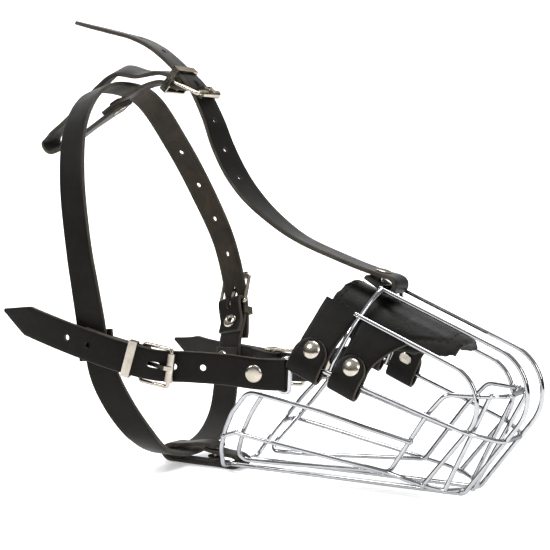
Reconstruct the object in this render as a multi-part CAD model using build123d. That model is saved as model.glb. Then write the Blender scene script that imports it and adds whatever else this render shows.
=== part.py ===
"""Basket muzzle for a large dog: welded wire cage, padded leather nose rest and buckled leather straps.

Millimetres. +X points forward past the dog's nose, +Z up, -Y is the near side and +Y the far side.
All shapes are laid out in cage coordinates: x = 0 at the weld of the outer top wires on the lower
ring, y = 0 on the centre plane and z = 0 on the centre line of the lowest wires. ORIGIN then moves
everything so that the row's origin is the middle of the whole object's footprint.
"""
from build123d import *
import math
import os

os.makedirs("parts", exist_ok=True)

# ---------------------------------------------------------------- driving dimensions
WIRE = 3.0                      # diameter of the cage wire
LEATHER = 2.8                   # thickness of the straps
STRAP = 20.0                    # width of the straps
NARROW = 15.0                   # width of the chin loop
HOLE = 4.0                      # punched holes
GAP = 0.35                      # air between leather layers
NEAR, FAR = -1, 1               # sign of Y for the two sides

BUCKLE_WIRE = 2.6               # diameter of a buckle's frame
BUCKLE_HALF_LENGTH = 10.0       # roller bar and fixed bar lie this far each side of the buckle's middle
BUCKLE_HALF_WIDTH = 12.0
ROLLER_RADIUS = 2.8
ROLLER_HALF = 9.2
RUNNING = 0.06                  # radial clearance of rollers and tongues on their bars
ROLLER_LIFT = LEATHER / 2 + 0.4 + ROLLER_RADIUS
BAR_DROP = LEATHER / 2 + GAP + LEATHER + 0.2 + BUCKLE_WIRE / 2
TONGUE_WIDTH = 2.6
TONGUE_LINE = [(4.5, -3.9), (1.5, -1.6), (-3.0, 3.6), (-7.4, 8.35), (-11.6, 8.35)]     # past the eye
KEEPER_BAND = 1.2
KEEPER_LENGTH = 5.5
KEEPER_AT = 17.4                # from the middle of a buckle to the middle of its keeper

RIVET_RADIUS = 5.6
RIVET_HEIGHT = 1.7
STEM_RADIUS = 1.6

TOP_SLOPE = math.radians(22.4)  # the top wires fall forwards at this angle
RING_SLOPE = 0.343              # the upper ring falls by this much per millimetre forwards
SAMPLES = 5                     # strap sections per span between two control points

ORIGIN = Vector(-129.4, 0.9, -5.14)


def largest(shape):
    return max(shape.solids(), key=lambda solid: solid.volume)


def mirrored(points):
    return [(x, -y, z) for x, y, z in points]


def save(name, *solids):
    moved = [solid.moved(Location(-ORIGIN)) for solid in solids]
    shape = moved[0] if len(moved) == 1 else Compound(children=moved)
    shape.label = name
    export_step(shape, f"parts/{name}.step")


# ---------------------------------------------------------------- wire work
def bent_wire(points, radii, closed=False, diameter=WIRE):
    """A round wire through straight runs with an arc at each corner."""
    path = FilletPolyline(*points, radius=radii, close=closed) if radii else Line(*points)
    section = Plane(origin=path @ 0, z_dir=path % 0) * Circle(diameter / 2)
    return sweep(section, path=path).solid()


def ring_height(x):
    return 49.8 - RING_SLOPE * x


EYELET_X = -94.5                # upright leg that a cheek strap is folded round
EYELET_Y = 44.5
EYELET_Z = 68.0
EYELET_HALF = 11.0

ARCH_SIDE = [
    (-62.6, 40.2, 68.5), (-58.0, 40.0, 80.0), (-51.0, 35.0, 97.0), (-43.6, 22.5, 114.5), (-39.4, 13.5, 123.4),
]
OUTER_TOP = [(-50.5, 29.0, 107.4), (47.5, 29.0, 67.1), (-3.2, 29.0, 4.2)]
INNER_TOP = [(-42.0, 12.5, 123.2), (74.9, 12.5, 75.3), (17.9, 12.5, 0.0), (-151.5, 12.5, 0.0)]
UPPER_SIDE = [
    (-87.8, 43.9, 76.6), (-88.2, 44.2, EYELET_Z - EYELET_HALF),
    (EYELET_X, EYELET_Y, EYELET_Z - EYELET_HALF), (EYELET_X, EYELET_Y, EYELET_Z + EYELET_HALF + 1),
    (-62.0, 42.0, ring_height(-62.0)),
    (0.0, 35.4, ring_height(0.0)), (27.0, 31.6, ring_height(27.0)), (44.0, 17.0, ring_height(44.0)),
]
UPPER_RADII = [2.6, 2.6, 5.0, 60.0, 60.0, 20.0, 12.0]
OUTER_RIM_SIDE = [
    (-9.5, 31.2, 31.4), (-40.0, 35.0, 38.5), (-70.0, 39.0, 46.5), (-94.0, 44.5, 51.5), (-115.5, 49.0, 56.0),
    (-129.0, 46.0, 41.0), (-137.0, 41.0, 29.0), (-145.5, 33.0, 15.0), (-151.0, 21.5, 0.0),
]
OUTER_RIM_RADII = [60.0, 60.0, 50.0, 9.0, 30.0, 30.0, 30.0, 8.0]
INNER_RIM_SIDE = [
    (-107.8, 43.6, 54.0), (-117.0, 42.0, 41.5), (-127.0, 35.5, 27.5), (-136.5, 25.5, 13.0),
    (-139.6, 19.0, 5.5),
    (-110.0, 19.8, 6.2), (-26.0, 25.6, 11.0), (0.5, 31.6, 49.0), (13.5, 33.5, 63.0), (31.0, 28.0, 62.6),
    (45.5, 18.0, 62.4),
]
INNER_RIM_RADII = [30.0, 30.0, 12.0, 5.0, 90.0, 6.0, 90.0, 8.0, 30.0, 12.0]
LOWER_SIDE = [
    (-140.8, 39.0, 23.4), (-131.5, 38.6, 26.6), (-104.0, 36.8, 22.6), (-74.0, 33.4, 18.0),
    (-27.0, 28.8, 11.0),
    (-2.0, 31.0, 5.8), (10.0, 22.0, 2.4), (17.0, 9.0, 1.8),
]
LOWER_RADII = [6.0, 40.0, 60.0, 60.0, 40.0, 12.0, 7.0]
FRONT_BAR_SIDE = [(38.6, 22.6, 64.2), (9.0, 22.6, 1.6)]
FRONT_BAR_CENTRE = [(52.6, 0.0, 64.0), (18.6, 0.0, 0.4)]


def both_sides(side, radii):
    """One wire that runs along the near side, across the middle and back along the far side."""
    return bent_wire(mirrored(side) + side[::-1], radii + radii[::-1])


def cage_wires():
    arch = mirrored(ARCH_SIDE) + ARCH_SIDE[::-1]
    arch_radii = [15.0, 30.0, 28.0, 14.0]
    save("nose_bridge_arch", bent_wire(arch, arch_radii + arch_radii[::-1]))
    for side, name in ((mirrored, "near"), (list, "far")):
        save(f"top_wire_outer_{name}", bent_wire(side(OUTER_TOP), [25.0]))
        save(f"top_wire_inner_{name}", bent_wire(side(INNER_TOP), [30.0, 5.0]))
        save(f"front_bar_{name}", bent_wire(side(FRONT_BAR_SIDE), []))
    save("front_bar_centre", bent_wire(FRONT_BAR_CENTRE, []))
    save("upper_side_ring", both_sides(UPPER_SIDE, UPPER_RADII))
    save("rear_rim_outer", both_sides(OUTER_RIM_SIDE, OUTER_RIM_RADII))
    save("rear_rim_inner", both_sides(INNER_RIM_SIDE, INNER_RIM_RADII))
    save("lower_side_ring", both_sides(LOWER_SIDE, LOWER_RADII))


WELDS = [                       # crossings on the far side, mirrored for the near side
    (-62.0, 41.0, 70.8), (-48.6, 29.0, 106.6), (-40.5, 12.5, 122.6), (0.8, 33.4, 49.6), (26.6, 30.2, 41.0),
    (43.6, 12.5, 35.0), (-10.2, 30.6, 31.8), (-26.6, 27.2, 11.2), (-2.0, 29.8, 6.0), (9.6, 22.4, 2.2),
    (17.0, 12.5, 1.2), (38.2, 22.8, 63.2), (32.2, 28.4, 62.8), (-108.4, 44.8, 53.8), (-132.0, 36.0, 26.4),
    (-139.6, 39.6, 23.6), (-150.6, 12.5, 0.3), (-87.8, 43.9, 76.9), (47.0, 12.5, 62.6),
]
CENTRE_WELDS = [(51.6, 0.0, 62.8), (18.2, 0.0, 1.4)]


def weld_beads():
    spots = WELDS + mirrored(WELDS) + CENTRE_WELDS
    save("weld_beads", *[Pos(*spot) * Sphere(WIRE * 0.62) for spot in spots])


# ---------------------------------------------------------------- straps
def through(points):
    """Points of a smooth curve through the control points (centripetal Catmull-Rom)."""
    points = [Vector(*p) for p in points]
    ends = [points[0] * 2 - points[1]] + points + [points[-1] * 2 - points[-2]]
    curve = []
    for a, b, c, d in zip(ends, ends[1:], ends[2:], ends[3:]):
        before, here, after = (math.sqrt(step.length) for step in (b - a, c - b, d - c))
        leave = (b - a) * (here / before) - (c - a) * (here / (before + here)) + (c - b)
        reach = (c - b) - (d - b) * (here / (here + after)) + (d - c) * (here / after)
        for k in range(SAMPLES):
            t = k / SAMPLES
            rise = t * t * (3 - 2 * t)
            curve.append(b * (1 - rise) + c * rise + leave * (t * (1 - t) ** 2) - reach * (t * t * (1 - t)))
    return curve + [points[-1]]


def between(vectors):
    """The vectors with straight steps between them, one for each point that 'through' gives."""
    vectors = [Vector(*v) for v in vectors]
    steps = [a + (b - a) * (k / SAMPLES) for a, b in zip(vectors, vectors[1:]) for k in range(SAMPLES)]
    return steps + [vectors[-1]]


class Strap:
    """A leather ribbon along a smooth curve. 'across' is its width direction, one vector or one per point."""

    def __init__(self, points, across, width=STRAP, thickness=LEATHER):
        if isinstance(across, tuple):
            across = [across] * len(points)
        self.width = width
        self.thickness = thickness
        self.spine = through(points)
        hints = between(across)
        self.along, self.across, self.out, self.run = [], [], [], [0.0]
        for i, point in enumerate(self.spine):
            before = self.spine[max(i - 1, 0)]
            after = self.spine[min(i + 1, len(self.spine) - 1)]
            along = (after - before).normalized()
            side = (hints[i] - along * hints[i].dot(along)).normalized()
            self.along.append(along)
            self.across.append(side)
            self.out.append(along.cross(side))
            if i:
                self.run.append(self.run[-1] + (point - before).length)

    @property
    def length(self):
        return self.run[-1]

    def plane(self, distance):
        """x along the strap, y across it and z out of its face, at a distance from its first end."""
        i = max(k for k in range(len(self.run) - 1) if self.run[k] <= distance or k == 0)
        t = (distance - self.run[i]) / (self.run[i + 1] - self.run[i])
        middle = self.spine[i] + (self.spine[i + 1] - self.spine[i]) * t
        along = self.along[i] + (self.along[i + 1] - self.along[i]) * t
        out = self.out[i] + (self.out[i + 1] - self.out[i]) * t
        return Plane(origin=middle, x_dir=along, z_dir=out)

    def spot(self, distance, out=0.0, across=0.0):
        """A point beside the strap, as a plain tuple."""
        return tuple(self.plane(distance).from_local_coords(Vector(0, across, out)))

    def half_width(self, distance, point_length, neck):
        """Half the width, drawn in towards a pointed last end and a narrowed first end."""
        half = self.width / 2
        left = self.length - distance
        if left < point_length:
            half *= 0.12 + 0.88 * left / point_length
        if distance < neck[0]:
            half = neck[1] / 2 + (self.width - neck[1]) / 2 * distance / neck[0]
        return half

    def solid(self, holes=(), slots=(), point_length=0.0, neck=(0.0, 0.0)):
        sections = []
        for i, point in enumerate(self.spine):
            half = self.half_width(self.run[i], point_length, neck)
            side = self.across[i] * half
            face = self.out[i] * (self.thickness / 2)
            corners = [point + side + face, point - side + face, point - side - face, point + side - face]
            sections.append(Wire.make_polygon(corners, close=True))
        body = Solid.make_loft(sections, ruled=True)
        for distance in holes:
            body -= self.plane(distance) * Cylinder(HOLE / 2, 3 * self.thickness)
        for distance, length in slots:
            body -= self.plane(distance) * Box(length, HOLE, 3 * self.thickness)
        return largest(body)


def bight(bar, back, out, radius, steps=4):
    """Points of a half turn round a bar, from its inner side by the front to its outer side."""
    bar, back, out = Vector(*bar), Vector(*back).normalized(), Vector(*out).normalized()
    angles = [math.pi * k / steps for k in range(steps + 1)]
    return [tuple(bar - out * (radius * math.cos(a)) - back * (radius * math.sin(a))) for a in angles]


# ---------------------------------------------------------------- fittings
DOWN = (Align.CENTER, Align.CENTER, Align.MAX)
UP = (Align.CENTER, Align.CENTER, Align.MIN)


def rivet(plane, base, grip, inside_cap=True):
    """Domed cap 'base' above the plane, with a stem that runs 'grip' down through the leather."""
    cap = Cylinder(RIVET_RADIUS, 0.6, align=UP)
    cap += Pos(0, 0, 0.6) * Cone(RIVET_RADIUS, RIVET_RADIUS * 0.6, RIVET_HEIGHT - 0.6, align=UP)
    shape = cap + Cylinder(STEM_RADIUS, grip, align=DOWN)
    if inside_cap:
        shape += Pos(0, 0, -grip) * Cylinder(RIVET_RADIUS * 0.8, 0.8, align=DOWN)
    return (plane * Pos(0, 0, base) * shape).solid()


def flipped(plane):
    return Plane(origin=plane.origin, x_dir=plane.x_dir, z_dir=-plane.z_dir)


def buckle(plane, name):
    """Roller buckle on a strap: x runs towards the strap's free end and z out of its face."""
    roller_bar = (-BUCKLE_HALF_LENGTH, ROLLER_LIFT)
    fixed_bar = (BUCKLE_HALF_LENGTH, -BAR_DROP)
    corners = [(x, y, z) for (x, z), order in ((roller_bar, (1, -1)), (fixed_bar, (-1, 1)))
               for y in (BUCKLE_HALF_WIDTH * order[0], BUCKLE_HALF_WIDTH * order[1])]
    path = FilletPolyline(*corners, radius=2.0, close=True)
    frame = sweep(Plane(origin=path @ 0, z_dir=path % 0) * Circle(BUCKLE_WIRE / 2), path=path)
    bore = BUCKLE_WIRE / 2 + RUNNING
    tube = Cylinder(ROLLER_RADIUS, 2 * ROLLER_HALF) - Cylinder(bore, 4 * ROLLER_HALF)
    roller = Pos(roller_bar[0], 0, roller_bar[1]) * Rot(X=90) * tube
    line = [(fixed_bar[0] - 1.6, fixed_bar[1] + 0.9)] + TONGUE_LINE
    half = TONGUE_WIDTH / 4
    with BuildSketch(Plane.XZ) as outline:
        with BuildLine():
            Polyline(*[(x - half, z - half * 0.8) for x, z in line[:-1]],
                     (line[-1][0], line[-1][1] - half), (line[-1][0] - 0.3, line[-1][1] + half),
                     *[(x + half, z + half * 0.8) for x, z in line[-2::-1]], close=True)
        make_face()
    shank = extrude(outline.sketch, amount=TONGUE_WIDTH / 2, both=True)
    eye = Pos(fixed_bar[0], 0, fixed_bar[1]) * Rot(X=90) * Cylinder(bore + 1.5, TONGUE_WIDTH)
    hole = Pos(fixed_bar[0], 0, fixed_bar[1]) * Rot(X=90) * Cylinder(bore, 3 * TONGUE_WIDTH)
    tongue = (shank + eye) - hole
    save(f"{name}_buckle_frame", (plane * frame).solid())
    save(f"{name}_buckle_roller", (plane * roller).solid())
    save(f"{name}_buckle_tongue", (plane * tongue).solid())


TONGUE_SLOT = (0.9, 7.6)        # middle, from the buckle's middle, and length of the tongue's worn hole


def keeper(plane, top, bottom, name):
    """Metal band round a stack of leather that reaches from 'bottom' to 'top' out of the plane."""
    room_y, room_z = STRAP + 1.2, top - bottom + 1.0
    band = Box(KEEPER_LENGTH, room_y + 2 * KEEPER_BAND, room_z + 2 * KEEPER_BAND)
    band -= Box(2 * KEEPER_LENGTH, room_y, room_z)
    save(f"{name}_keeper", (plane * Pos(0, 0, (top + bottom) / 2) * band).solid())


LAYER = LEATHER + GAP           # step from the middle of one strap to the middle of the next


TURNED_BACK = ((33, 6.4), (25, 7.6), (17.0, 8.9))       # inner end of the fold: distance and depth
HEAD_TURNED_BACK = ((33, 9.8), (25, 7.6), (17.0, 8.9))  # the same where the strap then turns inwards


def buckle_strap(main, middle, reach, end_points=(), turned_back=TURNED_BACK):
    """Short strap folded round a buckle's fixed bar, under the main strap, with a slot for the tongue."""
    bar = main.plane(middle + BUCKLE_HALF_LENGTH)
    origin = bar.from_local_coords(Vector(0, 0, -BAR_DROP))
    radius = BUCKLE_WIRE / 2 + 0.2 + LEATHER / 2
    inner = [main.spot(middle + x, -depth) for x, depth in turned_back]
    outer = [main.spot(middle + x, -LAYER) for x in reach]
    turn = bight(origin, bar.x_dir, bar.z_dir, radius)
    across = tuple(bar.z_dir.cross(bar.x_dir))
    points = inner + turn + outer + list(end_points)
    strap = Strap(points, across)
    body = strap.solid()
    body -= bar * Pos(-1, 0, -BAR_DROP) * Box(12, TONGUE_WIDTH + 1.8, 3 * BAR_DROP)
    return strap, largest(body)


SNUG = WIRE / 2 + 0.3 + LEATHER / 2        # radius of a strap's middle where it turns tightly round a cage wire


def fold_points(bar, back, out, reach, lift=2.0, drops=(2.9, 1.8), radius=SNUG):
    """A strap's turned-back inner end, its half turn round a wire and the first point of its outer side."""
    bar_v, back_v, out_v = Vector(*bar), Vector(*back).normalized(), Vector(*out).normalized()
    inner = [tuple(bar_v + back_v * step - out_v * drop) for step, drop in zip(reach, drops)]
    turn = bight(bar, back, out, radius)
    outer = [tuple(bar_v + back_v * reach[-1] + out_v * lift)]
    return inner + turn + outer


# ---------------------------------------------------------------- the straps of this muzzle
EYELET_NEAR = (EYELET_X, -EYELET_Y, EYELET_Z)
EYELET_FAR = (EYELET_X, EYELET_Y, EYELET_Z)
FOLD_COUNT = 8                  # control points of fold_points with two inner ones

CHEEK_NEAR = fold_points(EYELET_NEAR, (-0.93, -0.37, 0), (0.37, -0.93, 0), (27, 13)) + [
    (-128, -58, 70), (-148, -67, 71), (-168, -76, 71.5), (-190, -86.5, 77), (-209, -93, 83), (-230, -96, 89),
    (-259, -96, 97), (-277, -94, 102),
]
CHEEK_FAR = fold_points(EYELET_FAR, (-0.93, 0.30, -0.2), (0.31, 0.95, 0), (27, 13)) + [
    (-130, 56, 60), (-150, 62.5, 58), (-172, 69.5, 59), (-200, 77.5, 60), (-228, 84, 60.5), (-250, 88, 63.5),
    (-267, 90, 68.5),
]
HEAD = [
    (-210, -85.4, 72), (-211.5, -86.0, 92), (-215, -88.4, 118), (-221, -88, 145), (-233, -80, 190),
    (-246, -60, 225), (-255, -30, 248), (-257.5, 0, 254), (-254, 30, 248), (-246, 60, 215), (-235, 78, 180),
    (-222, 87, 145), (-214, 90, 112), (-210, 88, 95), (-206.5, 83.5, 80), (-206, 82, 73.5),
]
HEAD_ACROSS = [(-0.97, -0.22, 0)] * 2 + [(-1, -0.1, -0.2)] + [(-1, 0, -0.3)] * 8 + [(-1, 0.1, -0.2)] * 5
FOREHEAD_BAR = (-38.2, 0, 124.9)
FOREHEAD = fold_points(FOREHEAD_BAR, (-0.93, 0, 0.36), (0.36, 0, 0.93), (17, 9), 3.5, (1.6, 2.9), 4.6) + [
    (-57, 0, 134.6), (-72, 0, 139.4), (-107, 0, 152.5), (-128, -1, 166), (-144, -2, 180), (-156.5, -2, 195),
    (-167, -2, 213), (-176, -1, 232), (-189, 0, 252.5), (-202, 0, 264.5), (-221, 0, 279), (-238, 0, 287),
    (-257, 0, 292), (-294, 0, 301),
]
FOREHEAD_TWIST = [0.15, 0.3, 0.35, 0.3, 0.2, 0.1]
FOREHEAD_ACROSS = [(0, -1, 0)] * 11 + [(-twist, -1, 0) for twist in FOREHEAD_TWIST] + [(0, -1, 0)] * 5
THROAT = [
    (-209.5, -81.8, 92), (-206, -81.2, 66), (-198, -75, 44), (-191.5, -60, 23), (-193, -35, 8), (-196, 0, 2.4),
    (-198, 33, 8), (-202, 55, 22), (-204, 63.8, 42), (-204.5, 65.2, 57), (-205, 65.8, 68),
]
THROAT_ACROSS = [(0.97, 0.22, 0)] * 2 + [(0.93, 0.36, 0)] * 2 + [(1, 0, 0)] * 5 + [(0.96, -0.28, 0)] * 2
CHIN = [
    (-176, 0, 6.6), (-164, 0, 4.6), (-151.2, 0, 3.2), (-148.0, 0, 0), (-151.2, 0, -3.2), (-166, 0, -3.2),
    (-196, 0, -3.2), (-207, 0, -2.4), (-210.6, 0, 2.2), (-206, 0, 6.4), (-196, 0, 7.4), (-178, 0, 9.8),
    (-168, 0, 8.6),
]
CONNECTOR_LEAN = [0.3, 0.3, 0.15] + [0.0] * 6 + [0.05, 0.25] + [0.42] * 4 + [0.36] * 5 + [0.3] * 2
HEAD_JOINT_NEAR = 41.0          # the head strap crosses the near cheek strap this far behind its buckle
HEAD_JOINT_FAR = 57.0


def build_straps():
    cheek_near = Strap(CHEEK_NEAR, (0, 0, -1))
    cheek_far = Strap(CHEEK_FAR, (0, 0, 1))
    head = Strap(HEAD, HEAD_ACROSS)
    forehead = Strap(FOREHEAD, FOREHEAD_ACROSS)
    throat = Strap(THROAT, THROAT_ACROSS)
    chin = Strap(CHIN, (0, -1, 0), width=NARROW)

    near_buckle = cheek_near.run[(FOLD_COUNT + 2) * SAMPLES]
    far_buckle = cheek_far.run[(FOLD_COUNT + 1) * SAMPLES]
    head_buckle = head.run[12 * SAMPLES] + 4
    top_buckle = forehead.run[(FOLD_COUNT + 8) * SAMPLES]

    def worn(middle):
        return [(middle + TONGUE_SLOT[0], TONGUE_SLOT[1])]

    near_holes = [near_buckle + x for x in (-30.5, -12.0, 46.0, 61.5)]
    far_holes = [far_buckle + x for x in (-16.0, 40.0, 56.0, 72.0)]
    head_holes = [head_buckle - x for x in (28.0, 56.0, 84.0, 112.0)]
    top_holes = [top_buckle - x for x in (27.0, 49.0, 71.0)] + [top_buckle + x for x in (38.0, 60.0)]
    save("cheek_strap_near", cheek_near.solid(near_holes, worn(near_buckle), 22.0, (24.0, 17.0)))
    save("cheek_strap_far", cheek_far.solid(far_holes, worn(far_buckle), 22.0, (24.0, 17.0)))
    save("head_strap", head.solid(head_holes, worn(head_buckle), 0.0))
    save("forehead_strap", forehead.solid(top_holes, worn(top_buckle), 22.0, (20.0, 18.0)))
    save("throat_strap", throat.solid())
    save("chin_loop", chin.solid())

    buckle(cheek_near.plane(near_buckle), "cheek_near")
    buckle(cheek_far.plane(far_buckle), "cheek_far")
    buckle(head.plane(head_buckle), "head")
    buckle(forehead.plane(top_buckle), "top")

    short_near, body = buckle_strap(cheek_near, near_buckle, (20, 27, 34, 44, 52))
    save("cheek_buckle_strap_near", body)
    short_far, body = buckle_strap(cheek_far, far_buckle, (20, 30, 42, 56, 67))
    save("cheek_buckle_strap_far", body)
    head_end = [(-207, 74.6, 74), (-205.5, 70.2, 62), (-205.2, 69.6, 52)]
    short_head, body = buckle_strap(head, head_buckle, (20,), head_end, HEAD_TURNED_BACK)
    save("head_buckle_strap", body)

    bar = forehead.plane(top_buckle + BUCKLE_HALF_LENGTH)
    centre = bar.from_local_coords(Vector(0, 0, -BAR_DROP))
    turn = bight(centre, (-0.97, 0, 0.24), (0.24, 0, 0.97), BUCKLE_WIRE / 2 + 0.2 + LEATHER / 2)
    lower = [(-264, 0, 237.5), (-247, 0, 247.5), (-230, 0, 254.5), (-214, 0, 256.5)]
    upper = [
        (-216, 0, 263.0), (-234, 0, 262.5), (-254, 0, 265.5), (-268, 0, 257.5), (-283, 0, 244.5),
        (-299, 0, 232.5), (-311, 0, 223), (-315.5, 0, 216), (-311, 0, 211.5), (-299, 0, 214.5),
        (-280, 0, 225), (-262, 0, 235.2), (-250, 0, 242.5),
    ]
    tilts = [(0, -1, -lean) for lean in CONNECTOR_LEAN]
    connector = Strap(lower + turn + upper, tilts)
    body = connector.solid() - bar * Pos(-1, 0, -BAR_DROP) * Box(12, TONGUE_WIDTH + 1.8, 3 * BAR_DROP)
    save("connector_strap", largest(body))

    stack = (LEATHER / 2, -LAYER - LEATHER / 2)
    keeper(cheek_near.plane(near_buckle + KEEPER_AT), *stack, "cheek_near")
    keeper(cheek_far.plane(far_buckle + KEEPER_AT), *stack, "cheek_far")
    keeper(head.plane(head_buckle + KEEPER_AT), *stack, "head")
    keeper(forehead.plane(top_buckle + 15.2), LEATHER / 2, -14.6, "top")

    fold = (LEATHER / 2, 2 * LEATHER + 2.0)
    save("cheek_rivets", *[
        rivet(strap.plane(strap.run[7 * SAMPLES] + 3.5), *fold) for strap in (cheek_near, cheek_far)])
    save("forehead_rivet", rivet(forehead.plane(forehead.run[7 * SAMPLES] + 0.5), *fold))
    save("buckle_strap_rivets", *[
        rivet(flipped(short.plane(short.run[7 * SAMPLES] + 15.6)), LAYER + LEATHER / 2, LAYER + LEATHER,
              False) for short in (short_near, short_far, short_head)])
    joints = [
        (cheek_near, near_buckle + HEAD_JOINT_NEAR, 3 * LAYER),
        (cheek_far, far_buckle + HEAD_JOINT_FAR, 4 * LAYER),
    ]
    save("joint_rivets", *[
        rivet(flipped(strap.plane(at)), depth + LEATHER / 2, depth, False) for strap, at, depth in joints])
    lap = connector.plane(connector.length - 6)
    save("connector_rivet", rivet(lap, LEATHER / 2, 2 * LEATHER + 1.2))
    save("chin_rivet", rivet(chin.plane(6), LEATHER / 2 + LAYER, 2 * LEATHER + 0.8))


# ---------------------------------------------------------------- nose pad
PAD_TOP = Vector(-39.4, 0, 123.4)
FORWARD = Vector(math.cos(TOP_SLOPE), 0, -math.sin(TOP_SLOPE))
RISE = Vector(math.sin(TOP_SLOPE), 0, math.cos(TOP_SLOPE))
PAD_CENTRE = -57.0              # centre of the saddle's ellipse below the arch's top
PAD_HALF, PAD_RISE = 36.0, 52.6
PAD_SECTIONS = [(-28.0, 30.0), (-16.0, 26.0), (0.0, 24.0), (16.0, 26.0), (40.0, 38.0), (56.0, 48.0), (65.0, 58.0)]


def saddle(inset, thickness, trim=0.0):
    """A band of the saddle, 'inset' below its outer face, with its edges 'trim' degrees higher."""
    sections = []
    for s, edge in PAD_SECTIONS:
        angles = [math.radians(edge + trim + (180 - 2 * (edge + trim)) * k / 12) for k in range(13)]
        rims = []
        for depth, order in ((inset, angles), (inset + thickness, angles[::-1])):
            for a in order:
                y = (PAD_HALF - depth) * math.cos(a)
                rise = PAD_CENTRE + (PAD_RISE - depth) * math.sin(a)
                rims.append(PAD_TOP + FORWARD * s + RISE * rise + Vector(0, y, 0))
        sections.append(Wire.make_polygon(rims, close=True))
    return Solid.make_loft(sections, ruled=True)


TAB = 2.2                       # leather thickness of the pad's tabs
TABS = {"rear": (-76.2, 43.1, 23.0), "front": (-49.5, 40.7, 20.0)}
FLANK = 1.3                     # a tab's middle lies this far outside the saddle


def tab(x, y, width, side):
    """A tab sewn to the pad's flank: down inside the upper ring, round under it and back up outside."""
    ring = Vector(x, 0, ring_height(x))
    lift = (ring - PAD_TOP).dot(RISE)
    angles = [math.radians(a) for a in (46, 37, 28)]
    flank = [(PAD_CENTRE + (PAD_RISE + FLANK) * math.sin(a) - lift, (PAD_HALF + FLANK) * math.cos(a) - y)
             for a in angles]
    inner = [(11.0, -3.4), (3.0, -2.9), (-5.0, -3.0)]
    under = [(-7.6, -2.0), (-8.4, 0.1), (-7.6, 2.2)]
    outer = [(-5.0, 3.2), (2.0, 2.8), (9.5, 0.2), (16.5, -2.2)]
    points = [tuple(ring + RISE * h + Vector(0, (y + o) * side, 0)) for h, o in flank + inner + under + outer]
    return Strap(points, tuple(FORWARD * side), width=width, thickness=TAB)


def build_pad():
    save("nose_pad", saddle(0.0, 5.4))
    save("nose_pad_lining", saddle(5.6, 1.6, 1.5))
    rivets = []
    for place, measures in TABS.items():
        for side, name in ((NEAR, "near"), (FAR, "far")):
            strap = tab(*measures, side)
            save(f"pad_tab_{place}_{name}", strap.solid())
            rivets.append(rivet(strap.plane(strap.run[11 * SAMPLES]), TAB / 2, TAB + 3.7))
    save("tab_rivets", *rivets)


cage_wires()
weld_beads()
build_straps()
build_pad()
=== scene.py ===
import math

import bmesh
import bpy
from mathutils import Matrix, Vector
from mathutils.bvhtree import BVHTree
from mathutils.kdtree import KDTree


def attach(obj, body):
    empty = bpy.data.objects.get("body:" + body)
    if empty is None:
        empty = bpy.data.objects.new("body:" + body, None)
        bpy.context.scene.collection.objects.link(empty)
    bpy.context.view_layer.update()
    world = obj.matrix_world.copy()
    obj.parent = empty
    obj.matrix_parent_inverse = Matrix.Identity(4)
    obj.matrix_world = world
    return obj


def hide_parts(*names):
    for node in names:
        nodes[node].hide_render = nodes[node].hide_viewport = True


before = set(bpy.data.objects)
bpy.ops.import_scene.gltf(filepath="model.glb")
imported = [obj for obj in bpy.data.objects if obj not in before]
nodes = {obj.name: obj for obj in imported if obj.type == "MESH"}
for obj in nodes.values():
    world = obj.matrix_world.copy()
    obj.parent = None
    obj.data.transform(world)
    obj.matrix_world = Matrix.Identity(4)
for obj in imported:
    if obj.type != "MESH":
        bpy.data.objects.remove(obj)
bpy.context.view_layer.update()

# All shapes are worked out in cage millimetres, as in the CAD source, and to_row moves them into the row's
# frame. In cage coordinates x = 0 is at the outer top wires' weld on the lower ring, y = 0 on the centre
# plane and z = 0 on the lowest wires.
MM = 0.001
ORIGIN = Vector((-129.4, 0.9, -5.14))
WIRE = 3.0                      # diameter of the cage wire
LEATHER = 2.8                   # thickness of the straps
STRAP = 20.0                    # width of the straps
NARROW = 15.0                   # width of the chin loop
HOLE = 4.0                      # punched holes
GAP = 0.35                      # air between leather layers
LAYER = LEATHER + GAP           # step from the middle of one strap to the middle of the next
BUCKLE_WIRE = 2.6               # diameter of a buckle's frame
BUCKLE_HALF_LENGTH = 10.0       # the fixed bar lies this far past the buckle's middle
BAR_AIR = 0.2                   # air between the fixed bar and the leather folded round it
BAR_DROP = LEATHER / 2 + GAP + LEATHER + BAR_AIR + BUCKLE_WIRE / 2
BAR_TURN = BUCKLE_WIRE / 2 + BAR_AIR + LEATHER / 2
SNUG = WIRE / 2 + 0.3 + LEATHER / 2     # radius of a strap's middle where it turns round a cage wire
TONGUE_WIDTH = 2.6
TOP_SLOPE = math.radians(22.4)  # the top wires fall forwards at this angle
RING_SLOPE = 0.343              # the upper ring falls by this much per millimetre forwards
RING_HEIGHT = 49.8              # height of the upper ring at x = 0
SAMPLES = 8                     # strap sections per span between two control points
SMOOTH_ANGLE = math.radians(35)         # a sharper bend than this shades as an edge
BODY = "muzzle"


def to_row(point):
    return (Vector(point) - ORIGIN) * MM


# ---------------------------------------------------------------- materials
def material(name):
    made = bpy.data.materials.new(name)
    made.use_nodes = True
    tree = made.node_tree
    return made, tree, tree.nodes["Principled BSDF"]


def node(tree, kind, inputs=None, **settings):
    """A shader node: each input is a value or the socket that feeds it."""
    made = tree.nodes.new(kind)
    for key, value in settings.items():
        setattr(made, key, value)
    for key, value in (inputs or {}).items():
        if isinstance(value, bpy.types.NodeSocket):
            tree.links.new(value, made.inputs[key])
        else:
            made.inputs[key].default_value = value
    return made


def ramp(tree, value, *stops):
    """A colour ramp: stops are (position, grey or colour)."""
    made = node(tree, "ShaderNodeValToRGB", {"Fac": value})
    points = made.color_ramp.elements
    while len(points) < len(stops):
        points.new(0.5)
    for point, (position, colour) in zip(points, stops):
        point.position = position
        point.color = (colour, colour, colour, 1) if isinstance(colour, float) else (*colour, 1)
    return made.outputs["Color"]


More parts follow.
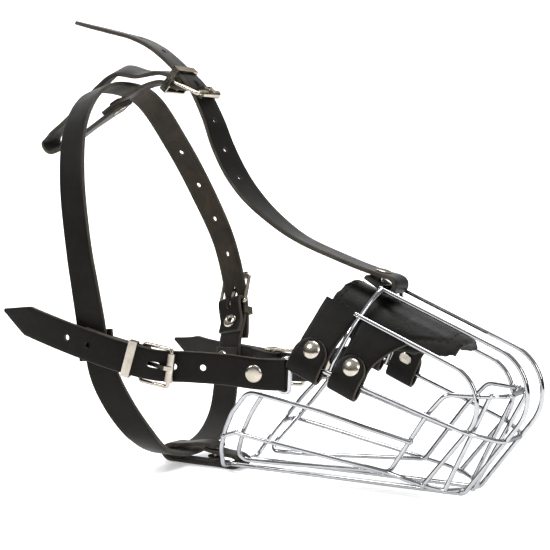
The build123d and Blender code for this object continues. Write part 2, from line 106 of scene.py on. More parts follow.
def mix(tree, factor, a, b, kind="MIX"):
    """Two colours mixed. Inputs 0, 6 and 7 are the factor, A and B, and output 2 is the colour."""
    made = node(tree, "ShaderNodeMix", data_type="RGBA", blend_type=kind)
    for key, value in ((0, factor), (6, a), (7, b)):
        if isinstance(value, bpy.types.NodeSocket):
            tree.links.new(value, made.inputs[key])
        else:
            made.inputs[key].default_value = (*value, 1) if isinstance(value, tuple) else value
    return made.outputs[2]


def position(tree):
    """Object coordinates, in metres, so that a pattern's scale is a real size."""
    return node(tree, "ShaderNodeTexCoord").outputs["Object"]


def grain(tree, scale, detail, roughness=0.6, distortion=0.0):
    """Noise between 0 and 1, at a scale of features per metre."""
    return node(tree, "ShaderNodeTexNoise", {
        "Vector": position(tree), "Scale": scale, "Detail": detail, "Roughness": roughness,
        "Distortion": distortion}).outputs["Fac"]


def bump(tree, shader, *layers):
    """Chained bumps: (height socket, strength, distance in metres)."""
    normal = None
    for height, strength, distance in layers:
        inputs = {"Height": height, "Strength": strength, "Distance": distance}
        if normal is not None:
            inputs["Normal"] = normal
        normal = node(tree, "ShaderNodeBump", inputs).outputs["Normal"]
    tree.links.new(normal, shader.inputs["Normal"])


def leather(name, dark, light, rough, pores=0.5):
    """Dyed leather: pebbled pores, drawn-out creases, soft blotches and paler scuffs."""
    made, tree, shader = material(name)
    blotch = grain(tree, 55.0, detail=5.0, roughness=0.62, distortion=0.4)
    fine = grain(tree, 900.0, detail=4.0, roughness=0.7)
    tone = ramp(tree, blotch, (0.32, dark), (0.72, light))
    speck = ramp(tree, fine, (0.45, 0.86), (0.75, 1.2))
    colour = mix(tree, 0.6, tone, speck, "MULTIPLY")
    stretched = node(tree, "ShaderNodeMapping", {
        "Vector": position(tree), "Rotation": (0.3, 0.5, 0.2), "Scale": (40.0, 220.0, 420.0)}).outputs[0]
    scratch = node(tree, "ShaderNodeTexNoise", {
        "Vector": stretched, "Scale": 1.0, "Detail": 3.0}).outputs["Fac"]
    scuffs = ramp(tree, scratch, (0.66, 0.0), (0.74, 1.0))
    worn = mix(tree, 0.10, colour, tuple(c * 2.6 for c in light))
    colour = mix(tree, scuffs, colour, worn)
    tree.links.new(colour, shader.inputs["Base Color"])
    tree.links.new(ramp(tree, blotch, (0.3, rough[0]), (0.75, rough[1])), shader.inputs["Roughness"])
    cells = node(tree, "ShaderNodeTexVoronoi", {
        "Vector": position(tree), "Scale": 1150.0, "Randomness": 1.0}, feature="F1").outputs["Distance"]
    borders = node(tree, "ShaderNodeTexVoronoi", {
        "Vector": position(tree), "Scale": 210.0, "Randomness": 1.0}, feature="DISTANCE_TO_EDGE")
    creases = ramp(tree, borders.outputs["Distance"], (0.0, 0.0), (0.09, 1.0))
    bump(tree, shader, (blotch, 0.35, 0.0012), (creases, 0.16 * pores, 0.0003),
         (cells, 0.5 * pores, 0.00018), (fine, 0.3, 0.00012))
    shader.inputs["Specular IOR Level"].default_value = 0.13
    return made


def flesh(name, dark, light):
    """The rough inner side of a strap: fibres, stains and a soft sheen."""
    made, tree, shader = material(name)
    fibre = grain(tree, 1500.0, detail=5.0, roughness=0.75, distortion=0.6)
    stain = grain(tree, 42.0, detail=6.0, roughness=0.68, distortion=0.8)
    between_them = tuple((a + b) / 2 for a, b in zip(dark, light))
    tone = ramp(tree, stain, (0.34, dark), (0.55, between_them), (0.74, light))
    colour = mix(tree, 0.75, tone, ramp(tree, fibre, (0.35, 0.6), (0.7, 1.35)), "MULTIPLY")
    tree.links.new(colour, shader.inputs["Base Color"])
    shader.inputs["Roughness"].default_value = 0.86
    shader.inputs["Specular IOR Level"].default_value = 0.22
    shader.inputs["Sheen Weight"].default_value = 0.12
    bump(tree, shader, (fibre, 0.55, 0.00035), (stain, 0.3, 0.0008))
    return made


def metal(name, colour, rough, tarnish, pit=0.08):
    """Plated metal: an uneven mirror, clouded down to 'tarnish' times its colour, with tool marks."""
    made, tree, shader = material(name)
    cloud = grain(tree, 120.0, detail=4.0)
    marks = grain(tree, 700.0, detail=3.0)
    tone = ramp(tree, cloud, (0.35, tuple(c * tarnish for c in colour)), (0.65, colour))
    tree.links.new(tone, shader.inputs["Base Color"])
    shader.inputs["Metallic"].default_value = 1.0
    shader.inputs["Specular Tint"].default_value = (0.12, 0.12, 0.12, 1)
    tree.links.new(ramp(tree, cloud, (0.3, rough[0]), (0.8, rough[1])), shader.inputs["Roughness"])
    bump(tree, shader, (marks, pit, 0.0001), (cloud, pit * 1.5, 0.0004))
    return made


# tones from dark to light, or a metal's colour, and then the least and the most roughness where it varies
GRAIN = leather("strap_leather", (0.0036, 0.0031, 0.0026), (0.0078, 0.0066, 0.0054), (0.42, 0.58))
FLESH = flesh("strap_flesh_side", (0.013, 0.0092, 0.0056), (0.038, 0.028, 0.017))
INNER = flesh("dyed_flesh_side", (0.0065, 0.0055, 0.0044), (0.016, 0.0132, 0.0100))
EDGE = flesh("strap_cut_edge", (0.020, 0.0165, 0.0125), (0.075, 0.062, 0.046))
PAD = leather("pad_leather", (0.0036, 0.0032, 0.0028), (0.0074, 0.0066, 0.0056), (0.38, 0.54), 0.8)
SUEDE = flesh("pad_lining", (0.0065, 0.0055, 0.0044), (0.015, 0.0122, 0.0092))
THREAD = flesh("waxed_thread", (0.006, 0.005, 0.0045), (0.02, 0.017, 0.014))
CHROME = metal("chromed_wire", (0.47, 0.475, 0.49), (0.05, 0.12), 0.86)
NICKEL = metal("nickel_plate", (0.52, 0.475, 0.405), (0.14, 0.27), 0.72, 0.14)


# ---------------------------------------------------------------- building meshes
def piece(name, verts, faces, materials, slots=None, sharp_from=SMOOTH_ANGLE):
    """A mesh object in the row's frame from cage millimetres. 'slots' is each face's place in materials."""
    mesh = bpy.data.meshes.new(name)
    mesh.from_pydata([to_row(v) for v in verts], [], faces)
    for one in materials:
        mesh.materials.append(one)
    if slots:
        mesh.polygons.foreach_set("material_index", slots)
    mesh.polygons.foreach_set("use_smooth", [True] * len(mesh.polygons))
    mesh.update()
    if sharp_from:
        mesh.set_sharp_from_angle(angle=sharp_from)
    made = bpy.data.objects.new(name, mesh)
    bpy.context.scene.collection.objects.link(made)
    return made


def settle(made, node_names):
    """Makes a piece ride on the muzzle in the place of its CAD nodes."""
    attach(made, BODY)
    if node_names:
        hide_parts(*node_names)
    return made


def apply_modifiers(made):
    graph = bpy.context.evaluated_depsgraph_get()
    mesh = bpy.data.meshes.new_from_object(made.evaluated_get(graph))
    old = made.data
    made.modifiers.clear()
    made.data = mesh
    bpy.data.meshes.remove(old)


def through(points):
    """Points of a smooth curve through the control points (centripetal Catmull-Rom)."""
    points = [Vector(p) for p in points]
    ends = [points[0] * 2 - points[1]] + points + [points[-1] * 2 - points[-2]]
    curve = []
    for a, b, c, d in zip(ends, ends[1:], ends[2:], ends[3:]):
        before, here, after = (math.sqrt(step.length) for step in (b - a, c - b, d - c))
        leave = (b - a) * (here / before) - (c - a) * (here / (before + here)) + (c - b)
        reach = (c - b) - (d - b) * (here / (here + after)) + (d - c) * (here / after)
        for k in range(SAMPLES):
            t = k / SAMPLES
            rise = t * t * (3 - 2 * t)
            curve.append(b * (1 - rise) + c * rise + leave * (t * (1 - t) ** 2) - reach * (t * t * (1 - t)))
    return curve + [points[-1]]


def between(vectors):
    """The vectors with straight steps between them, one for each point that 'through' gives."""
    vectors = [Vector(v) for v in vectors]
    steps = [a + (b - a) * (k / SAMPLES) for a, b in zip(vectors, vectors[1:]) for k in range(SAMPLES)]
    return steps + [vectors[-1]]


def axes(origin, x_dir, z_dir):
    """A placement: x along x_dir, z along z_dir."""
    z = Vector(z_dir).normalized()
    x = Vector(x_dir)
    x = (x - z * x.dot(z)).normalized()
    y = z.cross(x)
    turn = Matrix((x, y, z)).transposed().to_4x4()
    return Matrix.Translation(origin) @ turn


def flipped(plane):
    """The same placement with z on the other side."""
    return axes(plane.translation, plane.col[0].to_3d(), -plane.col[2].to_3d())


class Strap:
    """A leather ribbon along a smooth curve. 'across' is its width direction, or one for each point."""

    def __init__(self, points, across, width=STRAP, thickness=LEATHER):
        if isinstance(across, tuple):
            across = [across] * len(points)
        self.width = width
        self.thickness = thickness
        self.spine = through(points)
        hints = between(across)
        self.along, self.across, self.out, self.run = [], [], [], [0.0]
        for i, point in enumerate(self.spine):
            before = self.spine[max(i - 1, 0)]
            after = self.spine[min(i + 1, len(self.spine) - 1)]
            along = (after - before).normalized()
            side = (hints[i] - along * hints[i].dot(along)).normalized()
            self.along.append(along)
            self.across.append(side)
            self.out.append(along.cross(side))
            if i:
                self.run.append(self.run[-1] + (point - before).length)

    @property
    def length(self):
        return self.run[-1]

    def at(self, distance):
        """The span that a distance from the first end falls in, and how far along that span it is."""
        i = max(k for k in range(len(self.run) - 1) if self.run[k] <= distance or k == 0)
        return i, (distance - self.run[i]) / (self.run[i + 1] - self.run[i])

    def plane(self, distance):
        """x along the strap, y across it and z out of its face."""
        i, t = self.at(distance)
        return axes(self.spine[i].lerp(self.spine[i + 1], t), self.along[i].lerp(self.along[i + 1], t),
                    self.out[i].lerp(self.out[i + 1], t))

    def spot(self, distance, out=0.0):
        return self.plane(distance) @ Vector((0, 0, out))


ROUND = 0.6                     # how far a strap's edges are rounded over
SINK = 0.10                     # how far its faces fall towards the edges
EDGE_STEPS = 3
FACE_STEPS = 8
ON_GRAIN, ON_FLESH, ON_EDGE = 0, 1, 2   # places in a strap's list of materials


def profile(half, thickness):
    """Outline of a strap's section, from grain side to flesh side, and the material of each stretch."""
    points, slots = [], []
    round_over = min(ROUND, half * 0.45)
    for flip in (1, -1):
        for k in range(FACE_STEPS + 1):
            y = flip * (half - round_over) * (2 * k / FACE_STEPS - 1)
            sink = SINK * (abs(y) / half) ** 4
            points.append((y, flip * (thickness / 2 - sink)))
            face_slot = ON_GRAIN if flip > 0 else ON_FLESH
            slots.append(face_slot if k < FACE_STEPS else ON_EDGE)
        for k in range(1, 2 * EDGE_STEPS):
            a = math.pi / 2 - math.pi * k / (2 * EDGE_STEPS)
            y = half - round_over + round_over * math.cos(a)
            z = (thickness / 2 - SINK) * math.copysign(abs(math.sin(a)) ** 0.6, math.sin(a))
            points.append((flip * y, flip * z))
            slots.append(ON_EDGE)
    return points, slots


def ribbon(name, strap, half_of=None, grain_out=True, faces_of=(GRAIN, INNER, EDGE)):
    """The strap's mesh, with rounded cut edges, a grain face and a flesh face.

    half_of gives half the width and its sideways shift at a distance along the strap.
    """
    verts, faces, slots = [], [], []
    for i, point in enumerate(strap.spine):
        half, shift = half_of(strap.run[i]) if half_of else (strap.width / 2, 0.0)
        section, kinds = profile(half, strap.thickness)
        verts += [point + strap.across[i] * (y + shift) + strap.out[i] * z for y, z in section]
    count = len(kinds)
    shown = (ON_GRAIN, ON_FLESH, ON_EDGE) if grain_out else (ON_FLESH, ON_GRAIN, ON_EDGE)
    for i in range(len(strap.spine) - 1):
        for k in range(count):
            a, b = i * count + k, i * count + (k + 1) % count
            faces.append((a, a + count, b + count, b))
            slots.append(shown[kinds[k]])
    last = (len(strap.spine) - 1) * count
    faces.append(tuple(range(count)))
    faces.append(tuple(last + k for k in reversed(range(count))))
    slots += [ON_EDGE, ON_EDGE]
    return piece(name, verts, faces, faces_of, slots)


def punch(made, cutters):
    """Cuts prisms out of a piece: each cutter is (placement, outline, half depth)."""
    verts, faces = [], []
    for place, outline, depth in cutters:
        first, count = len(verts), len(outline)
        verts += [place @ Vector((x, y, depth)) for x, y in outline]
        verts += [place @ Vector((x, y, -depth)) for x, y in outline]
        faces.append(tuple(first + k for k in range(count)))
        faces.append(tuple(first + count + k for k in reversed(range(count))))
        for k in range(count):
            n = (k + 1) % count
            faces.append((first + n, first + k, first + count + k, first + count + n))
    tool = piece("cutter", verts, faces, (GRAIN, FLESH, EDGE), [ON_EDGE] * len(faces), sharp_from=0)
    cut = made.modifiers.new("punch", "BOOLEAN")
    cut.operation = "DIFFERENCE"
    cut.solver = "EXACT"
    cut.object = tool
    apply_modifiers(made)
    bpy.data.objects.remove(tool)
    made.data.set_sharp_from_angle(angle=SMOOTH_ANGLE)
    return made


def ring(radius, steps=20):
    """Points of a circle, such as the outline of a round hole."""
    angles = [math.tau * k / steps for k in range(steps)]
    return [(radius * math.cos(a), radius * math.sin(a)) for a in angles]


def stadium(length, width, steps=8):
    """Outline of a slot with round ends."""
    r = width / 2
    ends = []
    for centre, start in ((length / 2 - r, -math.pi / 2), (r - length / 2, math.pi / 2)):
        angles = [start + math.pi * k / steps for k in range(steps + 1)]
        ends += [(centre + r * math.cos(a), r * math.sin(a)) for a in angles]
    return ends


LATHE_STEPS = 28


def turned(name, place, outline):
    """A lathe-turned shape. The outline is (radius, height) from the top to the end."""
    verts, faces = [], []
    for r, z in outline:
        verts += [place @ Vector((r * x, r * y, z)) for x, y in ring(1.0, LATHE_STEPS)]
    for level in range(len(outline) - 1):
        for k in range(LATHE_STEPS):
            a, n = level * LATHE_STEPS + k, level * LATHE_STEPS + (k + 1) % LATHE_STEPS
            faces.append((a, a + LATHE_STEPS, n + LATHE_STEPS, n))
    last = (len(outline) - 1) * LATHE_STEPS
    faces.append(tuple(range(LATHE_STEPS)))
    faces.append(tuple(last + k for k in reversed(range(LATHE_STEPS))))
    return piece(name, verts, faces, (NICKEL,), sharp_from=math.radians(40))


# outlines of rivet caps, from the middle of the top out and down to the stem, with the leather at height 0
STEM_RADIUS = 1.6
FLAT_CAP = [(0.3, 1.35), (3.6, 1.33), (4.7, 1.16), (5.3, 0.8), (5.6, 0.4), (5.5, 0.05), (5.0, 0.0),
            (STEM_RADIUS, 0.0)]
DOME_CAP = [(0.2, 2.1), (1.4, 2.04), (2.7, 1.8), (3.9, 1.38), (4.8, 0.86), (5.3, 0.5), (5.45, 0.34),
            (5.6, 0.3), (5.65, 0.12), (5.5, 0.0), (STEM_RADIUS, 0.0)]
EYE_CAP = [(0.3, -0.5), (1.7, -0.3), (1.95, 0.5), (2.3, 0.95), (3.0, 1.2), (3.9, 1.15), (4.8, 0.8),
           (5.4, 0.35), (5.6, 0.08), (5.4, 0.0), (STEM_RADIUS, 0.0)]
# the cap on the back, with its heights from the stem's lower end
BACK_CAP = [(4.3, 0.0), (4.5, -0.3), (4.1, -0.75), (2.2, -0.9), (0.3, -0.6)]


def rivet(plane, base, grip, cap, back=True):
    """Placement of a rivet with its cap 'base' above the plane, and its outline with a stem 'grip' long."""
    outline = list(cap) + [(STEM_RADIUS, -grip + 0.01)]
    if back:
        outline += [(radius, -grip + height) for radius, height in BACK_CAP]
    return plane @ Matrix.Translation((0, 0, base)), outline


def rivets(name, made):
    """One object for all the rivets of the CAD node of that name. Each is (placement, outline)."""
    parts = [turned(f"{name}_{i}", place, outline) for i, (place, outline) in enumerate(made)]
    return settle(join(parts, name), [name])


def join(parts, name):
    first = parts[0]
    if len(parts) > 1:
        with bpy.context.temp_override(active_object=first, selected_editable_objects=parts):
            bpy.ops.object.join()
    first.name = name
    first.data.name = name
    return first


# ---------------------------------------------------------------- the cage and the buckles
CAGE_WORDS = ("wire", "ring", "rim", "bar", "arch", "weld")       # one of them is in each cage node's name
EDGE_BEVEL = 0.55 * MM

for name, cad in nodes.items():
    if any(word in name for word in CAGE_WORDS):
        finish = CHROME
    elif name.endswith(("_frame", "_roller", "_tongue", "_keeper")):
        finish = NICKEL
    else:
        continue
    cad.data.materials.clear()
    cad.data.materials.append(finish)
    if name.endswith(("_tongue", "_keeper")):
        soften = cad.modifiers.new("soften", "BEVEL")
        soften.width = EDGE_BEVEL
        soften.segments = 4
        soften.limit_method = "ANGLE"
        soften.angle_limit = math.radians(30)
        soften.harden_normals = True


# ---------------------------------------------------------------- straps, on the CAD source's control points
def bight(bar, back, out, radius, steps=4):
    """Points of a half turn round a bar, from its inner side by the front to its outer side."""
    bar, back, out = Vector(bar), Vector(back).normalized(), Vector(out).normalized()
    angles = [math.pi * k / steps for k in range(steps + 1)]
    return [bar - out * (radius * math.cos(a)) - back * (radius * math.sin(a)) for a in angles]


def fold_points(bar, back, out, reach, lift=2.0, drops=(2.9, 1.8), radius=SNUG):
    """A strap's turned-back inner end, its half turn round a wire and the first point of its outer side."""
    bar, back, out = Vector(bar), Vector(back).normalized(), Vector(out).normalized()
    inner = [bar + back * step - out * drop for step, drop in zip(reach, drops)]
    return inner + bight(bar, back, out, radius) + [bar + back * reach[-1] + out * lift]


# the upright legs of the upper ring that the cheek straps are folded round
NEAR_EYELET = (-94.5, -44.5, 68.0)
FAR_EYELET = (-94.5, 44.5, 68.0)
CHEEK_NEAR = fold_points(NEAR_EYELET, (-0.93, -0.37, 0), (0.37, -0.93, 0), (27, 13)) + [
    (-128, -58, 70), (-148, -67, 71), (-168, -76, 71.5), (-190, -86.5, 77), (-209, -93, 83), (-230, -96, 89),
    (-259, -96, 97), (-277, -94, 102),
]
CHEEK_FAR = fold_points(FAR_EYELET, (-0.93, 0.30, -0.2), (0.31, 0.95, 0), (27, 13)) + [
    (-130, 56, 60), (-150, 62.5, 58), (-172, 69.5, 59), (-200, 77.5, 60), (-228, 84, 60.5), (-250, 88, 63.5),
    (-267, 90, 68.5),
]
HEAD = [
    (-210, -85.4, 72), (-211.5, -86.0, 92), (-215, -88.4, 118), (-221, -88, 145), (-233, -80, 190),
    (-246, -60, 225), (-255, -30, 248), (-257.5, 0, 254), (-254, 30, 248), (-246, 60, 215), (-235, 78, 180),
    (-222, 87, 145), (-214, 90, 112), (-210, 88, 95), (-206.5, 83.5, 80), (-206, 82, 73.5),
]
HEAD_ACROSS = [(-0.97, -0.22, 0)] * 2 + [(-1, -0.1, -0.2)] + [(-1, 0, -0.3)] * 8 + [(-1, 0.1, -0.2)] * 5
ARCH_TOP = (-38.2, 0, 124.9)
FOREHEAD = fold_points(ARCH_TOP, (-0.93, 0, 0.36), (0.36, 0, 0.93), (17, 9), 3.5, (1.6, 2.9), 4.6) + [
    (-57, 0, 134.6), (-72, 0, 139.4), (-107, 0, 152.5), (-128, -1, 166), (-144, -2, 180), (-156.5, -2, 195),
    (-167, -2, 213), (-176, -1, 232), (-189, 0, 252.5), (-202, 0, 264.5), (-221, 0, 279), (-238, 0, 287),
    (-257, 0, 292), (-294, 0, 301),
]
FOREHEAD_TWIST = [0.15, 0.3, 0.35, 0.3, 0.2, 0.1]
FOREHEAD_ACROSS = [(0, -1, 0)] * 11 + [(-twist, -1, 0) for twist in FOREHEAD_TWIST] + [(0, -1, 0)] * 5
THROAT = [
    (-209.5, -81.8, 92), (-206, -81.2, 66), (-198, -75, 44), (-191.5, -60, 23), (-193, -35, 8),
    (-196, 0, 2.4), (-198, 33, 8), (-202, 55, 22), (-204, 63.8, 42), (-204.5, 65.2, 57), (-205, 65.8, 68),
]
THROAT_ACROSS = [(0.97, 0.22, 0)] * 2 + [(0.93, 0.36, 0)] * 2 + [(1, 0, 0)] * 5 + [(0.96, -0.28, 0)] * 2
CHIN = [
    (-176, 0, 6.6), (-164, 0, 4.6), (-151.2, 0, 3.2), (-148.0, 0, 0), (-151.2, 0, -3.2), (-166, 0, -3.2),
    (-196, 0, -3.2), (-207, 0, -2.4), (-210.6, 0, 2.2), (-206, 0, 6.4), (-196, 0, 7.4), (-178, 0, 9.8),
    (-168, 0, 8.6),
]
CONNECTOR_LOWER = [(-264, 0, 237.5), (-247, 0, 247.5), (-230, 0, 254.5), (-214, 0, 256.5)]
CONNECTOR_UPPER = [
    (-216, 0, 263.0), (-234, 0, 262.5), (-254, 0, 265.5), (-268, 0, 257.5), (-283, 0, 244.5),
    (-299, 0, 232.5), (-311, 0, 223), (-315.5, 0, 216), (-311, 0, 211.5), (-299, 0, 214.5),
    (-280, 0, 225), (-262, 0, 235.2), (-250, 0, 242.5),
]
FOLD_COUNT = 8                  # control points that fold_points gives
AFTER_TURN = 7 * SAMPLES        # section where the half turn is over, in a folded and in a buckle strap
TONGUE_SLOT = (1.4, 8.8)        # middle, from the buckle's middle, and length of the tongue's worn hole
TURNED_BACK = ((33, 6.4), (25, 7.6), (17.0, 8.9))       # inner end of the fold: distance and depth
HEAD_TURNED_BACK = ((33, 9.8), (25, 7.6), (17.0, 8.9))  # the same where the strap then turns inwards
POINT_LENGTH = 22.0             # length of a strap's pointed end
TIP = 0.12                      # width of the point's tip, as a share of the strap's width
PUNCH_DEPTH = 3.0               # half the length of a punch, enough for one layer

cheek_near = Strap(CHEEK_NEAR, (0, 0, -1))
cheek_far = Strap(CHEEK_FAR, (0, 0, 1))
head = Strap(HEAD, HEAD_ACROSS)
forehead = Strap(FOREHEAD, FOREHEAD_ACROSS)
throat = Strap(THROAT, THROAT_ACROSS)
chin = Strap(CHIN, (0, -1, 0), width=NARROW)
near_buckle = cheek_near.run[(FOLD_COUNT + 2) * SAMPLES]
far_buckle = cheek_far.run[(FOLD_COUNT + 1) * SAMPLES]
head_buckle = head.run[12 * SAMPLES] + 4
top_buckle = forehead.run[(FOLD_COUNT + 8) * SAMPLES]


def widths(strap, point_length, neck):
    """Half the width, drawn in towards a pointed last end and a neck (length, width) at the first end."""
    def half(distance):
        value = strap.width / 2
        left = strap.length - distance
        if left < point_length:
            value *= TIP + (1 - TIP) * left / point_length
        if distance < neck[0]:
            value = neck[1] / 2 + (strap.width - neck[1]) / 2 * distance / neck[0]
        return value, 0.0
    return half


def main_strap(name, strap, middle, holes, point_length=POINT_LENGTH, neck=(24.0, 17.0), inside=INNER):
    """A strap that goes through a buckle, with the tongue's hole at 'middle' and spare holes beside it."""
    made = ribbon(name, strap, widths(strap, point_length, neck), faces_of=(GRAIN, inside, EDGE))
    cutters = [(strap.plane(middle + x), ring(HOLE / 2), PUNCH_DEPTH) for x in holes]
    cutters.append((strap.plane(middle + TONGUE_SLOT[0]), stadium(TONGUE_SLOT[1], HOLE), PUNCH_DEPTH))
    settle(punch(made, cutters), [name])


main_strap("cheek_strap_near", cheek_near, near_buckle, (-30.5, -12.0, 46.0, 61.5))
main_strap("cheek_strap_far", cheek_far, far_buckle, (-16.0, 40.0, 56.0, 72.0))
main_strap("head_strap", head, head_buckle, (-28.0, -56.0, -84.0, -112.0), 0.0, (0.0, 0.0), FLESH)
main_strap("forehead_strap", forehead, top_buckle, (-27.0, -49.0, -71.0, 38.0, 60.0), neck=(20.0, 18.0))
settle(ribbon("throat_strap", throat), ["throat_strap"])
settle(ribbon("chin_loop", chin, grain_out=False), ["chin_loop"])


def notch(bar):
    """Cutter for the slot that lets the tongue out of the fold round the fixed bar."""
    return (bar @ Matrix.Translation((-1, 0, -BAR_DROP)), stadium(12, TONGUE_WIDTH + 1.8), 1.5 * BAR_DROP)


def buckle_strap(name, main, middle, reach, end_points=(), turned_back=TURNED_BACK):
    """Short strap folded round a buckle's fixed bar, under the main strap, with a slot for the tongue."""
    bar = main.plane(middle + BUCKLE_HALF_LENGTH)
    x_dir, z_dir = bar.col[0].to_3d(), bar.col[2].to_3d()
    inner = [main.spot(middle + x, -depth) for x, depth in turned_back]
    outer = [main.spot(middle + x, -LAYER) for x in reach]
    turn = bight(bar @ Vector((0, 0, -BAR_DROP)), x_dir, z_dir, BAR_TURN)
    strap = Strap(inner + turn + outer + list(end_points), tuple(z_dir.cross(x_dir)))
    settle(punch(ribbon(name, strap), [notch(bar)]), [name])
    return strap


short_near = buckle_strap("cheek_buckle_strap_near", cheek_near, near_buckle, (20, 27, 34, 44, 52))
short_far = buckle_strap("cheek_buckle_strap_far", cheek_far, far_buckle, (20, 30, 42, 56, 67))
HEAD_END = [(-207, 74.6, 74), (-205.5, 70.2, 62), (-205.2, 69.6, 52)]
short_head = buckle_strap("head_buckle_strap", head, head_buckle, (20,), HEAD_END, HEAD_TURNED_BACK)

top_bar = forehead.plane(top_buckle + BUCKLE_HALF_LENGTH)
top_turn = bight(top_bar @ Vector((0, 0, -BAR_DROP)), (-0.97, 0, 0.24), (0.24, 0, 0.97), BAR_TURN)
CONNECTOR_LEAN = [0.3, 0.3, 0.15] + [0.0] * 6 + [0.05, 0.25] + [0.42] * 4 + [0.36] * 5 + [0.3] * 2
connector = Strap(CONNECTOR_LOWER + top_turn + CONNECTOR_UPPER, [(0, -1, -lean) for lean in CONNECTOR_LEAN])
settle(punch(ribbon("connector_strap", connector), [notch(top_bar)]), ["connector_strap"])


# ---------------------------------------------------------------- rivets
def rivet_after_turn(strap, distance):
    """A flat rivet through both sides of a strap's fold round a wire, this far past the half turn."""
    return rivet(strap.plane(strap.run[AFTER_TURN] + distance), LEATHER / 2, 2 * LEATHER + 2.0, FLAT_CAP)


BUCKLE_RIVET_AT = 15.6          # from a buckle strap's half turn
FROM_END = 6.0                  # from the end of a strap to the rivet that holds it
# how much further out each buckle strap rivet stands
BUCKLE_RIVET_LIFTS = ((short_near, 0.0), (short_far, 0.0), (short_head, 0.7))
# where straps are joined on a cheek strap, and through how many layers behind it
JOINT_RIVETS = ((cheek_near, near_buckle + 41.0, 3), (cheek_far, far_buckle + 57.0, 4))

rivets("cheek_rivets", [rivet_after_turn(cheek_near, 3.5), rivet_after_turn(cheek_far, 3.5)])
rivets("forehead_rivet", [rivet_after_turn(forehead, 0.5)])
rivets("buckle_strap_rivets", [
    rivet(flipped(short.plane(short.run[AFTER_TURN] + BUCKLE_RIVET_AT)), LAYER + LEATHER / 2 + lift,
          LAYER + LEATHER + lift, EYE_CAP, False)
    for short, lift in BUCKLE_RIVET_LIFTS])
rivets("joint_rivets", [
    rivet(flipped(strap.plane(at)), layers * LAYER + LEATHER / 2, layers * LAYER, EYE_CAP, False)
    for strap, at, layers in JOINT_RIVETS])
rivets("connector_rivet", [
    rivet(connector.plane(connector.length - FROM_END), LEATHER / 2, 2 * LEATHER + 1.2, FLAT_CAP)])
rivets("chin_rivet", [rivet(chin.plane(FROM_END), LEATHER / 2 + LAYER, 2 * LEATHER + 0.8, FLAT_CAP)])


# ---------------------------------------------------------------- nose pad
PAD_TOP = Vector((-39.4, 0, 123.4))     # the arch's top, where the pad's own distances start
FORWARD = Vector((math.cos(TOP_SLOPE), 0, -math.sin(TOP_SLOPE)))
RISE = Vector((math.sin(TOP_SLOPE), 0, math.cos(TOP_SLOPE)))
PAD_CENTRE = -57.0              # the saddle's axis, along RISE from PAD_TOP
PAD_HALF, PAD_RISE = 36.0, 52.6         # half axes of its oval section
PAD_EDGES = [                   # distance along the saddle, and the angle at which its lower edge lies
    (-28.0, 30.0), (-16.0, 26.0), (0.0, 24.0), (16.0, 26.0), (40.0, 38.0), (56.0, 48.0), (65.0, 58.0),
]
PAD_REAR, PAD_FRONT = -26.5, 63.0
PAD_STEPS = 26
PAD_DEPTH = 7.0
PAD_SINK = 0.3                  # room left between the swollen pad and the saddle's outline
PAD_TRIM = 2.0                  # degrees left free for the swelling at the lower edges
SWELL = 1.3                     # the pad starts this much smaller on every side
ARC_STEPS = 28


def angle_at(table, s):
    """Angle at a distance along the saddle, from rows of (distance, angle)."""
    for (s0, a0), (s1, a1) in zip(table, table[1:]):
        if s <= s1:
            return a0 + (a1 - a0) * max((s - s0) / (s1 - s0), 0.0)
    return table[-1][1]


def pad_point(s, degrees, depth=0.0):
    """Point of the saddle at a distance along it, an angle round it and a depth below its outline."""
    a = math.radians(degrees)
    rise = PAD_CENTRE + (PAD_RISE - depth) * math.sin(a)
    return PAD_TOP + FORWARD * s + RISE * rise + Vector((0, (PAD_HALF - depth) * math.cos(a), 0))


def saddle(name, inset, thickness):
    """A closed shell bent over the nose, before it swells."""
    verts, faces = [], []
    for i in range(PAD_STEPS + 1):
        s = PAD_REAR + (PAD_FRONT - PAD_REAR) * i / PAD_STEPS
        edge = angle_at(PAD_EDGES, s) + PAD_TRIM
        angles = [edge + (180 - 2 * edge) * k / ARC_STEPS for k in range(ARC_STEPS + 1)]
        verts += [pad_point(s, a, inset) for a in angles]
        verts += [pad_point(s, a, inset + thickness) for a in reversed(angles)]
    count = 2 * (ARC_STEPS + 1)
    for i in range(PAD_STEPS):
        for k in range(count):
            a, b = i * count + k, i * count + (k + 1) % count
            faces.append((a, a + count, b + count, b))
    last = PAD_STEPS * count
    faces.append(tuple(range(count)))
    faces.append(tuple(last + k for k in reversed(range(count))))
    made = piece(name, verts, faces, (PAD, SUEDE), sharp_from=0)
    shell = bmesh.new()
    shell.from_mesh(made.data)
    bmesh.ops.recalc_face_normals(shell, faces=shell.faces)
    shell.to_mesh(made.data)
    shell.free()
    return made


VOXEL = 2.4 * MM
PRESSURE = 4.0
LAST_FRAME = 20
MOST_MOVE = 2.4 * MM            # how far a point may move as the pad swells


def puff(made):
    """Swells a closed shell as stiff cloth under light pressure, with no gravity."""
    cloth = made.modifiers.new("puff", "CLOTH")
    cloth.settings.use_pressure = True
    cloth.settings.uniform_pressure_force = PRESSURE
    cloth.settings.quality = 6
    cloth.settings.effector_weights.gravity = 0
    cloth.settings.tension_stiffness = 20
    cloth.settings.compression_stiffness = 20
    cloth.settings.bending_stiffness = 0.6
    cloth.collision_settings.use_collision = False
    cloth.point_cache.frame_start = 1
    cloth.point_cache.frame_end = LAST_FRAME
    for number in range(1, LAST_FRAME + 1):
        bpy.context.scene.frame_set(number)
    apply_modifiers(made)
    bpy.context.scene.frame_set(1)


